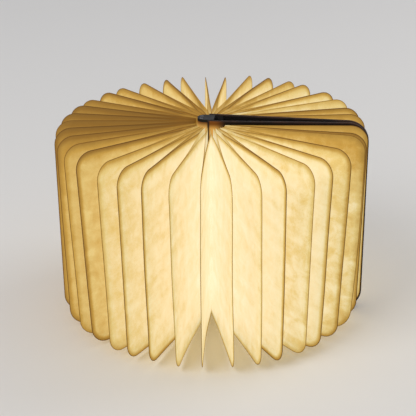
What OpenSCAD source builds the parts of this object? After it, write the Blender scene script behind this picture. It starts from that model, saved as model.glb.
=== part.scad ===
// Folding book lamp. It stands upright and fully open: the two covers lie back to back
// towards +X, and the paper leaves fan out round the light bar in the spine.
// Z = 0 is the surface that it stands on, and the Z axis runs midway between the two hinges.

/* [Covers] */
// Height of the covers
book_h = 215; // [150:1:300]
// Reach of a cover from its hinge axis to its fore-edge
cover_reach = 165; // [110:1:240]
// Thickness of a finished cover, board and leather together
cover_t = 4; // [3:0.1:8]
// Radius of the two outer corners of a cover
cover_corner_r = 22; // [8:1:45]
// Thickness of the leather that wraps the board
leather_t = 0.6; // [0.3:0.05:1.2]
// Thickness of the sheet glued inside each cover
endsheet_t = 0.4; // [0.1:0.05:0.6]
// Gap between the fore-edges of the two covers when they lie back to back
fore_edge_gap = 0.25; // [0.1:0.05:2]
// Radius of a cover magnet
magnet_r = 4; // [2:0.5:8]
// Thickness of a cover magnet
magnet_t = 1.5; // [0.8:0.1:2]
// Magnets along each fore-edge
magnet_count = 3; // [1:1:5]
// Distance from the fore-edge to the magnets
magnet_inset = 9; // [8:1:20]

/* [Leaves] */
// Leaves on each side of the middle of the book
leaves_a_side = 19; // [6:1:19]
// Thickness of one layer of paper
paper_t = 0.1; // [0.05:0.01:0.15]
// Slit between the two layers of a folded leaf
fold_slit = 0.05; // [0.02:0.01:0.1]
// Air between two leaves when the book is shut
leaf_air = 0.18; // [0.15:0.01:0.3]
// Air between the last leaf and the cover when the book is shut
cover_air = 0.33; // [0.3:0.01:1]
// Margin of cover that shows round the leaves
page_margin = 4; // [2:0.5:10]
// Radius of the outer corners of a leaf
page_corner_r = 18; // [5:1:40]
// How far the roots of the leaves spread when open, as a multiple of the shut block
root_spread = 1.35; // [1:0.05:1.5]
// Depth of an inner fold behind the roots of its two leaves
fold_depth = 1.5; // [0.8:0.1:3]
// Length by which an inner fold laps each leaf
fold_lap = 3; // [1:0.5:6]

/* [Spine] */
// Depth of the light bar from its back to the tip of its nose
bar_depth = 16.5; // [15:0.5:24]
// Distance from the hinge line to the back of the light bar
bar_back = 3; // [2.5:0.1:4]
// Running clearance between the light bar and the covers
bar_gap = 0.7; // [0.5:0.05:1.2]
// Wall of the light bar's housing
bar_wall = 1.4; // [1:0.1:1.8]
// Space for light between the nose of the bar and the inner folds
light_space = 13.5; // [6:0.5:20]
// Thickness of the plate that closes the back of the bar
panel_t = 1.2; // [0.8:0.1:1.6]
// Thickness of each end cap
cap_t = 3; // [2:0.1:5]
// Width of leather strip glued on the back plate
strip_on_bar = 4; // [2:0.5:6]
// Width of leather strip glued on the cover
strip_on_cover = 9; // [5:0.5:20]
// Thickness of the leather hinge strip
strip_t = 0.5; // [0.3:0.05:0.7]

/* [Light] */
// Angle of each light window from the middle of the nose
window_angle = 50; // [45:1:60]
// Half of the angle that a light window spans
window_half = 20; // [12:1:22]
// Distance from each end of the bar to its light windows
window_end = 20; // [18:1:40]
// Lamps on each strip
led_count = 12; // [4:1:16]
// Width of a lamp strip
led_strip_w = 5; // [4:0.1:5]
// Thickness of a lamp strip's board
led_board_t = 0.8; // [0.6:0.1:1]

/* [Inside] */
// Length of the battery
battery_l = 90; // [50:1:100]
// Thickness of the battery
battery_t = 6; // [4:0.1:6]
// Length of the control board
board_l = 48; // [40:1:55]
// Thickness of the control board
board_t = 1; // [0.6:0.1:1.2]
// Room for the leads between the control board and the battery
lead_room = 6; // [5:0.5:15]
// Width of the charging socket's shell
socket_w = 8.9; // [8:0.1:9]
// Height of the charging socket's shell
socket_h = 3.2; // [2.5:0.1:3.3]
// Depth of the charging socket's shell
socket_d = 7.3; // [6:0.1:9]
// Radius of a cap screw's shank
screw_r = 0.9; // [0.6:0.05:1]
// Length of a cap screw under its head
screw_l = 8; // [6:0.5:10]

/* [Hidden] */
$fn = 64;
fit = 0.1;                // clearance between pieces that are fitted and stay still
bore_fit = 0.05;          // radial clearance of a screw in its boss
seat = 0.3;               // clearance beside a loose inner piece
cut = 1;                  // overrun of a cutting shape

leaf_t = 2 * paper_t + fold_slit;
pitch = leaf_t + leaf_air;
block_half = leaves_a_side * pitch + cover_air;
hinge_y = block_half + cover_t / 2;
page_reach = cover_reach - page_margin;
page_z0 = page_margin;
page_z1 = book_h - page_margin;
board_half = cover_t / 2 - leather_t;
// Each cover leans in until its outer face nears the other's at the fore-edge.
open_lean = asin((hinge_y - fore_edge_gap / 2) / norm([cover_reach, cover_t / 2]))
    - atan2(cover_t / 2, cover_reach);
endsheet_x = bar_depth;

bar_half = hinge_y - cover_t / 2 - bar_gap;
nose_x = bar_back - bar_depth + bar_half;
nose_tip = bar_depth - bar_back;
inner_half = bar_half - bar_wall;
panel_half = bar_half - seat;
root_r = nose_tip + light_space;
leaf_step = 180 / leaves_a_side;

lens_flange_r = inner_half - fit;
lens_flange_t = 0.35;
lens_lip = 6;             // degrees by which the lens flange laps its window
lamp_t = 0.7;
lamp_size = [2.8, 3.5];
// A lamp's corners stay inside the lens, so its flat front lies a little deeper.
lamp_front = sqrt(pow(lens_flange_r - lens_flange_t - fit, 2) - pow(lamp_size[0] / 2, 2));
led_r = lamp_front - lamp_t - led_board_t;

boss_r = 1.8;
boss_spare = 3;           // length of a boss past its screw's end
boss_l = screw_l + boss_spare;
boss_sink = 0.3;          // depth by which a boss runs into the wall
boss_at = inner_half - boss_r + boss_sink;
boss_angle = 44;
head_r = 1.8;
head_t = 1;

lead_tab_t = 2;

tongue_t = 1.5;
tongue_x = bar_back - tongue_t;
board_x = -1.6;
socket_x = board_x - board_t - socket_h / 2 - fit;
socket_wall = 0.3;
board_z = socket_d + fit;
battery_z = board_z + board_l + lead_room;

two = function (i) str(i < 10 ? "0" : "", i);
leaf_name = function (side, i) str(side > 0 ? "back" : "front", "_leaf_", two(i));

// Places. The back half is drawn at +Y, and the front half is its mirror image.
module half(side) { if (side > 0) children(); else mirror([0, 1, 0]) children(); }

// On a cover: X runs from the hinge to the fore-edge, Y from the outer face to the inner one.
module on_cover() { translate([0, hinge_y, 0]) rotate([0, 0, -open_lean]) children(); }

function cover_point(x, y) = [x * cos(open_lean) + y * sin(open_lean),
                              hinge_y - x * sin(open_lean) + y * cos(open_lean)];

// Angle of a leaf from -X, and a point on it: r along the leaf, off to its cover's side.
function leaf_angle(i) = (i - 0.5) * leaf_step;
function leaf_root(i) = root_spread * pitch * (i - 0.5);
function leaf_point(i, r, off) = let (a = leaf_angle(i))
    [-r * cos(a) + off * sin(a), leaf_root(i) + r * sin(a) + off * cos(a)];

// A sheet standing in the XZ plane, y0 to y0 + t, with its two corners at x1 rounded.
module sheet_outline(x0, x1, z0, z1, r) {
    translate([x0, z0]) square([x1 - r - x0, z1 - z0]);
    translate([x1 - r - 0.01, z0 + r]) square([r + 0.01, z1 - z0 - 2 * r]);
    for (z = [z0 + r, z1 - r]) translate([x1 - r, z]) circle(r);
}

module sheet(x0, x1, z0, z1, r, y0, t) {
    translate([0, y0 + t, 0]) rotate([90, 0, 0]) linear_extrude(t)
        sheet_outline(x0, x1, z0, z1, r);
}

// Covers: board, leather wrapped round it, the sheet glued inside, and the magnets.
module magnet_places() {
    step = (book_h - 2 * cover_corner_r) / (magnet_count + 1);
    for (i = [1:magnet_count])
        translate([cover_reach - magnet_inset, -board_half, cover_corner_r + i * step])
            rotate([-90, 0, 0]) children();
}

module board_sheet() {
    sheet(leather_t, cover_reach - leather_t, leather_t, book_h - leather_t,
          cover_corner_r - leather_t, -board_half, 2 * board_half);
}

module cover_board(side) {
    color("tan") half(side) on_cover() difference() {
        board_sheet();
        magnet_places() cylinder(r = magnet_r + fit, h = magnet_t + fit);
    }
}

module cover_leather(side) {
    color("#1c100a") half(side) on_cover() difference() {
        union() {
            sheet(0, cover_reach, 0, book_h, cover_corner_r, -cover_t / 2, cover_t);
            cylinder(r = cover_t / 2, h = book_h);
        }
        board_sheet();
        sheet(endsheet_x, page_reach, page_z0, page_z1, page_corner_r, board_half, leather_t + cut);
    }
}

module endsheet(side) {
    color("wheat") half(side) on_cover()
        sheet(endsheet_x + fit, page_reach - fit, page_z0 + fit, page_z1 - fit,
              page_corner_r - fit, board_half, endsheet_t);
}

module cover_magnets(side) {
    color("silver") half(side) on_cover()
        magnet_places() cylinder(r = magnet_r, h = magnet_t);
}

// The leather hinge: glued on the bar's back plate, turned at its edge, glued on the cover.
module hinge_strip(side) {
    back = bar_back + panel_t;
    color("#1c100a") half(side) translate([0, 0, cut]) linear_extrude(book_h - 2 * cut) {
        translate([back, panel_half - strip_on_bar]) square([strip_t, strip_on_bar]);
        polygon([[back, panel_half - cut], [back + strip_t, panel_half - cut],
                 cover_point(back + 2 * strip_t, -cover_t / 2 - fit - strip_t),
                 cover_point(back + strip_on_cover, -cover_t / 2 - fit - strip_t),
                 cover_point(back + strip_on_cover, -cover_t / 2 - fit),
                 cover_point(back, -cover_t / 2 - fit), [back, panel_half]]);
    }
}

// Leaves: one sheet doubled over, with the fold at the outer edge and the slit open inside.
module leaf(side, i) {
    color("cornsilk") half(side) translate([0, leaf_root(i), 0]) rotate([0, 0, 180 - leaf_angle(i)])
        difference() {
            sheet(root_r, page_reach, page_z0, page_z1, page_corner_r, -leaf_t / 2, leaf_t);
            translate([root_r - cut, -fold_slit / 2, 0])
                cube([page_reach - paper_t - root_r + cut, fold_slit, book_h]);
        }
}

// The inner folds join the root of each leaf to the next one, and the last leaf to the cover.
lap_off = leaf_t / 2 + fit;
fold_t = 2 * paper_t;

// A V of paper between the roots a and b, each [lap end, root, lap end outside, root outside].
module fold_v(a, b, tip, tip_outside) {
    polygon([a[0], a[1], tip, b[1], b[0], b[2], b[3], tip_outside, a[3], a[2]]);
}

function leaf_lap(i, sign) = [
    leaf_point(i, root_r + fold_lap, sign * lap_off), leaf_point(i, root_r, sign * lap_off),
    leaf_point(i, root_r + fold_lap, sign * (lap_off + fold_t)),
    leaf_point(i, root_r, sign * (lap_off + fold_t))];

function mirrored(lap) = [for (p = lap) [p[0], -p[1]]];

function cover_lap() = let (y = board_half + endsheet_t + fit) [
    cover_point(root_r + fold_lap, y), cover_point(root_r, y),
    cover_point(root_r + fold_lap, y + fold_t), cover_point(root_r, y + fold_t)];

// The tip lies behind the middle of the two roots, towards the hinge line.
function fold_tip(a, b, depth) = let (m = (a[1] + b[1]) / 2, d = (a[1] - a[0] + b[1] - b[0]))
    m + d / norm(d) * depth;

module inner_fold(a, b) {
    fold_v(a, b, fold_tip(a, b, fold_depth), fold_tip(a, b, fold_depth - 2 * fold_t));
}

module inner_folds(side) {
    color("moccasin") half(side) translate([0, 0, page_z0]) linear_extrude(page_z1 - page_z0) {
        for (i = [1:leaves_a_side - 1]) inner_fold(leaf_lap(i, 1), leaf_lap(i + 1, -1));
        inner_fold(leaf_lap(leaves_a_side, 1), cover_lap());
        if (side > 0) inner_fold(leaf_lap(1, -1), mirrored(leaf_lap(1, -1)));
    }
}

// Light bar: a D-shaped housing with two long windows, closed by a back plate and two caps.
module bar_outline(r, x_back) {
    translate([nose_x, 0]) circle(r);
    translate([nose_x, -r]) square([x_back - nose_x, 2 * r]);
}

module ring_part(r0, r1, middle, half_angle) {
    far = 2 * r1;
    intersection() {
        difference() {
            circle(r1);
            circle(r0);
        }
        rotate(180 - middle) polygon([[0, 0], far * [cos(half_angle), sin(half_angle)],
                                      far * [cos(half_angle), -sin(half_angle)]]);
    }
}

module at_windows() {
    for (side = [-1, 1]) translate([nose_x, 0, window_end]) linear_extrude(book_h - 2 * window_end)
        scale([1, side]) children();
}

module screw_places() {
    for (side = [-1, 1]) translate([nose_x - boss_at * cos(boss_angle), side * boss_at * sin(boss_angle), 0])
        children();
}

module both_ends() {
    children();
    translate([0, 0, book_h]) mirror([0, 0, 1]) children();
}

module spine_housing() {
    color("#241a14") difference() {
        union() {
            difference() {
                translate([0, 0, cap_t]) linear_extrude(book_h - 2 * cap_t) difference() {
                    bar_outline(bar_half, bar_back);
                    bar_outline(inner_half, bar_back + cut);
                }
                at_windows() ring_part(inner_half - cut, bar_half + cut, window_angle, window_half);
            }
            both_ends() screw_places() translate([0, 0, cap_t]) cylinder(r = boss_r, h = boss_l);
        }
        both_ends() screw_places() cylinder(r = screw_r + bore_fit, h = cap_t + boss_l + cut);
    }
}

module spine_back_plate() {
    color("#1c100a") translate([0, 0, cap_t]) linear_extrude(book_h - 2 * cap_t) {
        translate([bar_back, -panel_half]) square([panel_t, 2 * panel_half]);
        translate([tongue_x, fit - inner_half]) square([tongue_t, 2 * (inner_half - fit)]);
    }
}

module end_cap_plate() {
    difference() {
        linear_extrude(cap_t) {
            bar_outline(bar_half, bar_back);
            translate([0, -panel_half]) square([bar_back + panel_t, 2 * panel_half]);
        }
        screw_places() {
            translate([0, 0, -cut]) cylinder(r = screw_r + 2 * fit, h = cap_t + 2 * cut);
            translate([0, 0, -cut]) cylinder(r = head_r + fit, h = head_t + cut);
        }
    }
}

module top_end_cap() {
    color("#241a14") translate([0, 0, book_h]) mirror([0, 0, 1]) end_cap_plate();
}

module bottom_end_cap() {
    color("#241a14") difference() {
        end_cap_plate();
        translate([0, 0, -cut]) linear_extrude(cap_t + 2 * cut) socket_outline(fit);
    }
}

module end_cap_screws() {
    color("dimgray") both_ends() screw_places() difference() {
        union() {
            cylinder(r = head_r, h = head_t);
            cylinder(r = screw_r, h = head_t + screw_l);
        }
        for (turn = [0, 90]) rotate(turn)
            translate([-head_r / 2, -screw_r / 4, -cut]) cube([head_r, screw_r / 2, cut + head_t / 2]);
    }
}

module light_lenses() {
    color("ivory") at_windows() {
        ring_part(lens_flange_r - lens_flange_t, lens_flange_r, window_angle, window_half + lens_lip);
        ring_part(lens_flange_r - fit, bar_half - fit, window_angle, window_half - 1);
    }
}

module led_strips() {
    strip_l = book_h - 2 * window_end;
    step = strip_l / led_count;
    for (side = [-1, 1]) translate([nose_x, 0, window_end]) rotate([0, 0, side * (180 - window_angle)]) {
        color("white") translate([led_r, -led_strip_w / 2, 0]) cube([led_board_t, led_strip_w, strip_l]);
        color("gold") for (i = [0:led_count - 1])
            translate([led_r + led_board_t, -lamp_size[0] / 2, (i + 0.5) * step - lamp_size[1] / 2])
                cube([lamp_t, lamp_size[0], lamp_size[1]]);
    }
}

// Inside the bar: the battery, the board with its lid sensor, and the charging socket.
module battery() {
    width = 2 * (inner_half - seat);
    color("lightsteelblue") translate([tongue_x - seat - battery_t, -width / 2, battery_z]) {
        cube([battery_t, width, battery_l]);
        translate([(battery_t - lead_tab_t) / 2, width / 4, -lead_room / 2])
            cube([lead_tab_t, width / 4, lead_room / 2]);
    }
}

module control_board() {
    width = 2 * (inner_half - seat);
    top = board_x - board_t;
    color("darkgreen") translate([top, -width / 2, fit + cap_t])
        cube([board_t, width, board_l]);
    color("black") for (chip = [[14, 4, 5, 1.2], [24, 3, 3, 0.9], [34, 5, 6, 1.6]])
        translate([top - chip[3], -chip[1] / 2, cap_t + chip[0]]) cube([chip[3], chip[1], chip[2]]);
}

module socket_outline(grow) {
    r = socket_h / 2;
    translate([socket_x - r - grow, r - socket_w / 2]) square([socket_h + 2 * grow, socket_w - 2 * r]);
    for (y = [-1, 1] * (socket_w / 2 - r)) translate([socket_x, y]) circle(r + grow);
}

module charging_socket() {
    floor_t = 1;
    tongue = [0.7, socket_w * 0.7];
    color("silver") difference() {
        translate([0, 0, fit]) linear_extrude(socket_d) socket_outline(0);
        difference() {
            translate([0, 0, -cut]) linear_extrude(socket_d + fit + cut - floor_t)
                socket_outline(-socket_wall);
            translate([socket_x - tongue[0] / 2, -tongue[1] / 2, cut])
                cube([tongue[0], tongue[1], socket_d]);
        }
    }
}

spine_housing();
spine_back_plate();
top_end_cap();
bottom_end_cap();
end_cap_screws();
led_strips();
light_lenses();
battery();
control_board();
charging_socket();
cover_board(-1);  // front_cover_board
cover_leather(-1);  // front_cover_leather
endsheet(-1);  // front_endsheet
cover_magnets(-1);  // front_cover_magnets
hinge_strip(-1);  // front_hinge_strip
inner_folds(-1);  // front_inner_folds
cover_board(1);  // back_cover_board
cover_leather(1);  // back_cover_leather
endsheet(1);  // back_endsheet
cover_magnets(1);  // back_cover_magnets
hinge_strip(1);  // back_hinge_strip
inner_folds(1);  // back_inner_folds
for (side = [-1, 1], i = [1:leaves_a_side])
    leaf(side, i);
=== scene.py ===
# %% [markdown]
# # Folding book lamp
# The lamp is a book with a light bar in its spine. Opened all the way round, its two covers lie
# back to back and its pleated paper fans out into a glowing drum.
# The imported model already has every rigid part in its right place, so it is loaded first, and the
# looks are built round it.

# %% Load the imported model
import math

import bmesh
import bpy
from mathutils import Matrix, Vector, noise


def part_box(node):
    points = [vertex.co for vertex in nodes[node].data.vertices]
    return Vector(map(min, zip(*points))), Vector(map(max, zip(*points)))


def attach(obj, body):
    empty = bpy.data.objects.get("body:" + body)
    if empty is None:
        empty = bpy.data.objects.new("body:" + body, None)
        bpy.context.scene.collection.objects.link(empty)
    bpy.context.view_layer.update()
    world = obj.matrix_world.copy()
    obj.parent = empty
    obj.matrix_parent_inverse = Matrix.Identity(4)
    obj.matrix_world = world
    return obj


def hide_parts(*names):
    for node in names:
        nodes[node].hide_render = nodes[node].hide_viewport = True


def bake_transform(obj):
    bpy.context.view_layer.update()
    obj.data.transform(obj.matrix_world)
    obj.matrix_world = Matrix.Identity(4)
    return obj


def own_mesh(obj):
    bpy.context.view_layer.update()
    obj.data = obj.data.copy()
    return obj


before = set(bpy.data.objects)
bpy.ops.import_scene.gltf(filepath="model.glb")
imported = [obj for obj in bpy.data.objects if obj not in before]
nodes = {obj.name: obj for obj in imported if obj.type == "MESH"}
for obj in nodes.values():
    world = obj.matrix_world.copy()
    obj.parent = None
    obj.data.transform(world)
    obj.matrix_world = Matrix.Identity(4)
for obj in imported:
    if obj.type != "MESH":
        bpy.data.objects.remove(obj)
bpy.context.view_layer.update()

# %% [markdown]
# ## Camera, floor and light
# A long lens from well back, a little over twenty degrees above the horizon, keeps the leaves
# nearly parallel, as in a catalogue picture. The camera comes first, so that each piece can be
# judged through it from its first draft.

# %% Camera
LAMP_MIDDLE = Vector((0, 0, 0.1118))
DISTANCE = 1.40           # metres from there to the lens
camera_data = bpy.data.cameras.new("camera")
camera_data.sensor_width = 36
camera_data.lens = 113.0
camera_data.shift_x = -0.0058
camera = bpy.data.objects.new("camera", camera_data)
bpy.context.scene.collection.objects.link(camera)
azimuth, elevation = math.radians(5.0), math.radians(23.83)
back = Vector((math.sin(azimuth) * math.cos(elevation),
               -math.cos(azimuth) * math.cos(elevation), math.sin(elevation)))
camera.location = LAMP_MIDDLE + back * DISTANCE
camera.rotation_euler = (-back).to_track_quat("-Z", "Y").to_euler()
bpy.context.scene.camera = camera
print("camera at", [round(x, 3) for x in camera.location])

# %% [markdown]
# A studio floor is a plain pale sheet, wide enough that its edge lies far behind the lamp. Two
# large soft lamps and an even pale sky light the lamp at a plain level, so each colour comes out
# about as it is written. The sky is a little paler to the camera than it is as a light. Whatever
# mirrors it, or lets it through, is given that paler sky too.
# Small helpers for objects, materials and nodes come first, because every step uses them.

# %% Helpers for pieces and materials
def new_object(name, bm):
    """A mesh object from a finished bmesh, at the origin, with its place in its mesh."""
    mesh = bpy.data.meshes.new(name)
    bm.to_mesh(mesh)
    bm.free()
    piece = bpy.data.objects.new(name, mesh)
    bpy.context.scene.collection.objects.link(piece)
    return piece


def new_material(name):
    """A material with its node tree and its Principled shader."""
    material = bpy.data.materials.new(name)
    material.use_nodes = True
    tree = material.node_tree
    return material, tree, tree.nodes["Principled BSDF"]


def add_node(tree, kind, **settings):
    """A node of that kind, with its settings. A setting named in_X sets the input X."""
    node = tree.nodes.new(kind)
    for key, value in settings.items():
        if not key.startswith("in_"):
            setattr(node, key, value)
    for key, value in settings.items():
        if key.startswith("in_"):
            name = key[3:]
            name = int(name) if name.isdigit() else name.replace("_", " ")
            node.inputs[name].default_value = value
    return node


def wire(tree, *pairs):
    """Links each (output, input) pair."""
    for out, into in pairs:
        tree.links.new(out, into)


# %% Floor
FLOOR_HALF = 9            # metres from its middle to its edge
bm = bmesh.new()
bmesh.ops.create_grid(bm, x_segments=2, y_segments=2, size=FLOOR_HALF)
floor = new_object("floor", bm)
floor_paint, tree, shader = new_material("floor_paint")
shader.inputs["Base Color"].default_value = (0.76, 0.745, 0.72, 1)
shader.inputs["Roughness"].default_value = 0.75
shader.inputs["Specular IOR Level"].default_value = 0.2
floor.data.materials.append(floor_paint)
print("floor", [round(x, 1) for x in floor.dimensions])

# %% Sky
bpy.context.scene.view_settings.view_transform = "Standard"
SKY_LIGHT = 0.55          # strength of the sky as a light
SKY_EXTRA = 0.2           # added where it is seen or mirrored
world = bpy.data.worlds.new("studio")
bpy.context.scene.world = world
world.use_nodes = True
sky = world.node_tree.nodes["Background"]
sky.inputs["Color"].default_value = (0.95, 0.96, 1.0, 1)
seen_by = add_node(world.node_tree, "ShaderNodeLightPath")
mirrored = add_node(world.node_tree, "ShaderNodeMath", operation="MAXIMUM")
seen = add_node(world.node_tree, "ShaderNodeMath", operation="MAXIMUM")
sky_level = add_node(world.node_tree, "ShaderNodeMath", operation="MULTIPLY_ADD",
                     in_1=SKY_EXTRA, in_2=SKY_LIGHT)
wire(world.node_tree,
     (seen_by.outputs["Is Glossy Ray"], mirrored.inputs[0]),
     (seen_by.outputs["Is Transmission Ray"], mirrored.inputs[1]),
     (seen_by.outputs["Is Camera Ray"], seen.inputs[0]),
     (mirrored.outputs["Value"], seen.inputs[1]),
     (seen.outputs["Value"], sky_level.inputs[0]),
     (sky_level.outputs["Value"], sky.inputs["Strength"]))
print("sky:", SKY_LIGHT, "as a light,", SKY_LIGHT + SKY_EXTRA, "where it is seen")


# %% Soft lamps
def soft_lamp(name, place, aim, size, power):
    """A large square area lamp at place, facing aim."""
    light = bpy.data.lights.new(name, "AREA")
    light.size = size
    light.energy = power
    lamp = bpy.data.objects.new(name, light)
    lamp.location = place
    lamp.rotation_euler = (Vector(aim) - Vector(place)).to_track_quat("-Z", "Y").to_euler()
    bpy.context.scene.collection.objects.link(lamp)
    return lamp


soft_lamp("key_lamp", (-1.3, -1.5, 1.9), (0, 0, 0.1), 1.4, 26)
soft_lamp("fill_lamp", (1.6, 0.9, 1.5), (0, 0, 0.1), 1.4, 12)

# %% [markdown]
# ## Shared effects
# Paper, leather and moulded plastic each need a grain, and several materials need the same one.
# A grain could be built inside every material, but a shader node group is built once, and each
# material places it with its own scale and strength.


# %% Helper for shader groups
def new_group(name, inputs, outputs):
    """A shader node group. Inputs are (name, type, default), outputs are (name, type)."""
    group = bpy.data.node_groups.new(name, "ShaderNodeTree")
    for title, kind, default in inputs:
        socket = group.interface.new_socket(title, in_out="INPUT", socket_type=kind)
        if default is not None:
            socket.default_value = default
    for title, kind in outputs:
        group.interface.new_socket(title, in_out="OUTPUT", socket_type=kind)
    start = group.nodes.new("NodeGroupInput")
    end = group.nodes.new("NodeGroupOutput")
    return group, start, end


def place_group(tree, group, **values):
    """The group as a node in a material, with its own values."""
    node = tree.nodes.new("ShaderNodeGroup")
    node.node_tree = group
    for key, value in values.items():
        node.inputs[key.replace("_", " ")].default_value = value
    return node


# %% [markdown]
# ### Paper fibres
# The leaves are a tough fibre paper. Light from behind shows its cloudy make-up, with soft
# denser patches as wide as a thumb and fine fibres over them. Handling has left a few faint
# creases across it. A scan of paper could be laid over every leaf, but it would show the same
# clouds again and again, and noise never repeats. One noise makes the clouds, a much finer one
# the fibres, and a third one, squeezed in height, the creases, which are added to the clouds.

# %% Group: paper fibres
paper_fibres, start, end = new_group(
    "paper fibres",
    [("Vector", "NodeSocketVector", None), ("Cloud Scale", "NodeSocketFloat", 62.0),
     ("Fibre Scale", "NodeSocketFloat", 520.0)],
    [("Cloud", "NodeSocketFloat"), ("Fibre", "NodeSocketFloat"), ("Height", "NodeSocketFloat")])
clouds = add_node(paper_fibres, "ShaderNodeTexNoise", in_Detail=5.0, in_Roughness=0.62,
                  in_Distortion=0.5)
stretched = add_node(paper_fibres, "ShaderNodeVectorMath", operation="MULTIPLY", in_1=(9, 9, 90))
creases = add_node(paper_fibres, "ShaderNodeTexNoise", in_Scale=1.0, in_Detail=2.0)
crease_range = add_node(paper_fibres, "ShaderNodeMapRange", in_1=0.4, in_2=0.62,
                        in_3=-0.12, in_4=0.14)
cloudy = add_node(paper_fibres, "ShaderNodeMath", operation="ADD", use_clamp=True)
fibres = add_node(paper_fibres, "ShaderNodeTexNoise", in_Detail=3.0, in_Roughness=0.7,
                  in_Distortion=1.6)
cloud_range = add_node(paper_fibres, "ShaderNodeMapRange", in_1=0.3, in_2=0.7)
fibre_range = add_node(paper_fibres, "ShaderNodeMapRange", in_1=0.35, in_2=0.65)
both = add_node(paper_fibres, "ShaderNodeMath", operation="MULTIPLY_ADD", in_1=0.35)
wire(paper_fibres,
     (start.outputs["Vector"], clouds.inputs["Vector"]),
     (start.outputs["Cloud Scale"], clouds.inputs["Scale"]),
     (start.outputs["Vector"], fibres.inputs["Vector"]),
     (start.outputs["Fibre Scale"], fibres.inputs["Scale"]),
     (clouds.outputs["Fac"], cloud_range.inputs["Value"]),
     (fibres.outputs["Fac"], fibre_range.inputs["Value"]),
     (clouds.outputs["Fac"], both.inputs[0]),
     (fibres.outputs["Fac"], both.inputs[2]),
     (start.outputs["Vector"], stretched.inputs[0]),
     (stretched.outputs["Vector"], creases.inputs["Vector"]),
     (creases.outputs["Fac"], crease_range.inputs["Value"]),
     (cloud_range.outputs["Result"], cloudy.inputs[0]),
     (crease_range.outputs["Result"], cloudy.inputs[1]),
     (cloudy.outputs["Value"], end.inputs["Cloud"]),
     (fibre_range.outputs["Result"], end.inputs["Fibre"]),
     (both.outputs["Value"], end.inputs["Height"]))
print("group", paper_fibres.name, [s.name for s in paper_fibres.interface.items_tree])

# %% [markdown]
# ### Glow of the light bar
# The bar stands on the middle line, and its two windows look out to the front and the back
# halves. Paper close to the bar is bright and nearly white, and further out the light has gone
# through more paper and turns amber. The ends of the leaves lie past the ends of the windows,
# so they are dimmer. Lamps inside the bar could light the paper for real, but light that passes
# through many layers of paper takes long to work out and comes out grainy. So it is written into
# the paper as emission, and this group says how much of it a point gets, from its place:
# - its distance from the middle line and its height give the main fall of the light
# - the side that the nose of the bar turns to gets less, above all along the tops of the leaves
# - the leaves that stand straight out to either side are dimmer near their tops, and those on
#   the side of the nose are dimmer all the way down

# %% Group: lamp glow
NEAR_R, FAR_R = 0.03, 0.165     # distances at which the glow is Near and Far
lamp_glow, start, end = new_group(
    "lamp glow",
    [("Vector", "NodeSocketVector", None), ("Near", "NodeSocketFloat", 1.0),
     ("Far", "NodeSocketFloat", 0.35)],
    [("Glow", "NodeSocketFloat")])
split = add_node(lamp_glow, "ShaderNodeSeparateXYZ")
flat = add_node(lamp_glow, "ShaderNodeCombineXYZ")
reach = add_node(lamp_glow, "ShaderNodeVectorMath", operation="LENGTH")
fall = add_node(lamp_glow, "ShaderNodeMapRange", in_1=NEAR_R, in_2=FAR_R)
wire(lamp_glow,
     (start.outputs["Vector"], split.inputs["Vector"]),
     (split.outputs["X"], flat.inputs["X"]), (split.outputs["Y"], flat.inputs["Y"]),
     (flat.outputs["Vector"], reach.inputs[0]),
     (reach.outputs["Value"], fall.inputs["Value"]),
     (start.outputs["Near"], fall.inputs[3]), (start.outputs["Far"], fall.inputs[4]))
print("group", lamp_glow.name, "falls from", NEAR_R, "to", FAR_R, "m")

# %% Lamp glow: tops and feet of the leaves
high_end = add_node(lamp_glow, "ShaderNodeMapRange", interpolation_type="SMOOTHSTEP",
                    in_1=0.199, in_2=0.214, in_3=1.0, in_4=0.85)
low_end = add_node(lamp_glow, "ShaderNodeMapRange", interpolation_type="SMOOTHSTEP",
                   in_1=-0.01, in_2=0.04, in_3=0.85, in_4=1.0)
ends, along = [add_node(lamp_glow, "ShaderNodeMath", operation="MULTIPLY") for _ in range(2)]
wire(lamp_glow,
     (split.outputs["Z"], high_end.inputs["Value"]),
     (split.outputs["Z"], low_end.inputs["Value"]),
     (high_end.outputs["Result"], ends.inputs[0]), (low_end.outputs["Result"], ends.inputs[1]),
     (fall.outputs["Result"], along.inputs[0]), (ends.outputs["Value"], along.inputs[1]))
print("nodes so far:", len(lamp_glow.nodes))

# %% Lamp glow: the side of the bar's nose
BRIGHT_WAY = (0.9, -0.4, 0)     # the way from the middle line to the side that gets most
facing = add_node(lamp_glow, "ShaderNodeVectorMath", operation="DOT_PRODUCT", in_1=BRIGHT_WAY)
turn = add_node(lamp_glow, "ShaderNodeMath", operation="DIVIDE")
far_side = add_node(lamp_glow, "ShaderNodeMapRange", interpolation_type="SMOOTHSTEP",
                    in_1=0.195, in_2=0.214, in_3=0.88, in_4=0.56)
side = add_node(lamp_glow, "ShaderNodeMapRange", interpolation_type="SMOOTHSTEP",
                in_1=-1.0, in_2=0.9, in_4=1.07)
total = add_node(lamp_glow, "ShaderNodeMath", operation="MULTIPLY")
wire(lamp_glow,
     (split.outputs["Z"], far_side.inputs["Value"]),
     (flat.outputs["Vector"], facing.inputs[0]), (facing.outputs["Value"], turn.inputs[0]),
     (reach.outputs["Value"], turn.inputs[1]),
     (turn.outputs["Value"], side.inputs["Value"]),
     (far_side.outputs["Result"], side.inputs[3]),
     (along.outputs["Value"], total.inputs[0]), (side.outputs["Result"], total.inputs[1]))
print("nodes so far:", len(lamp_glow.nodes))

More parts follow.
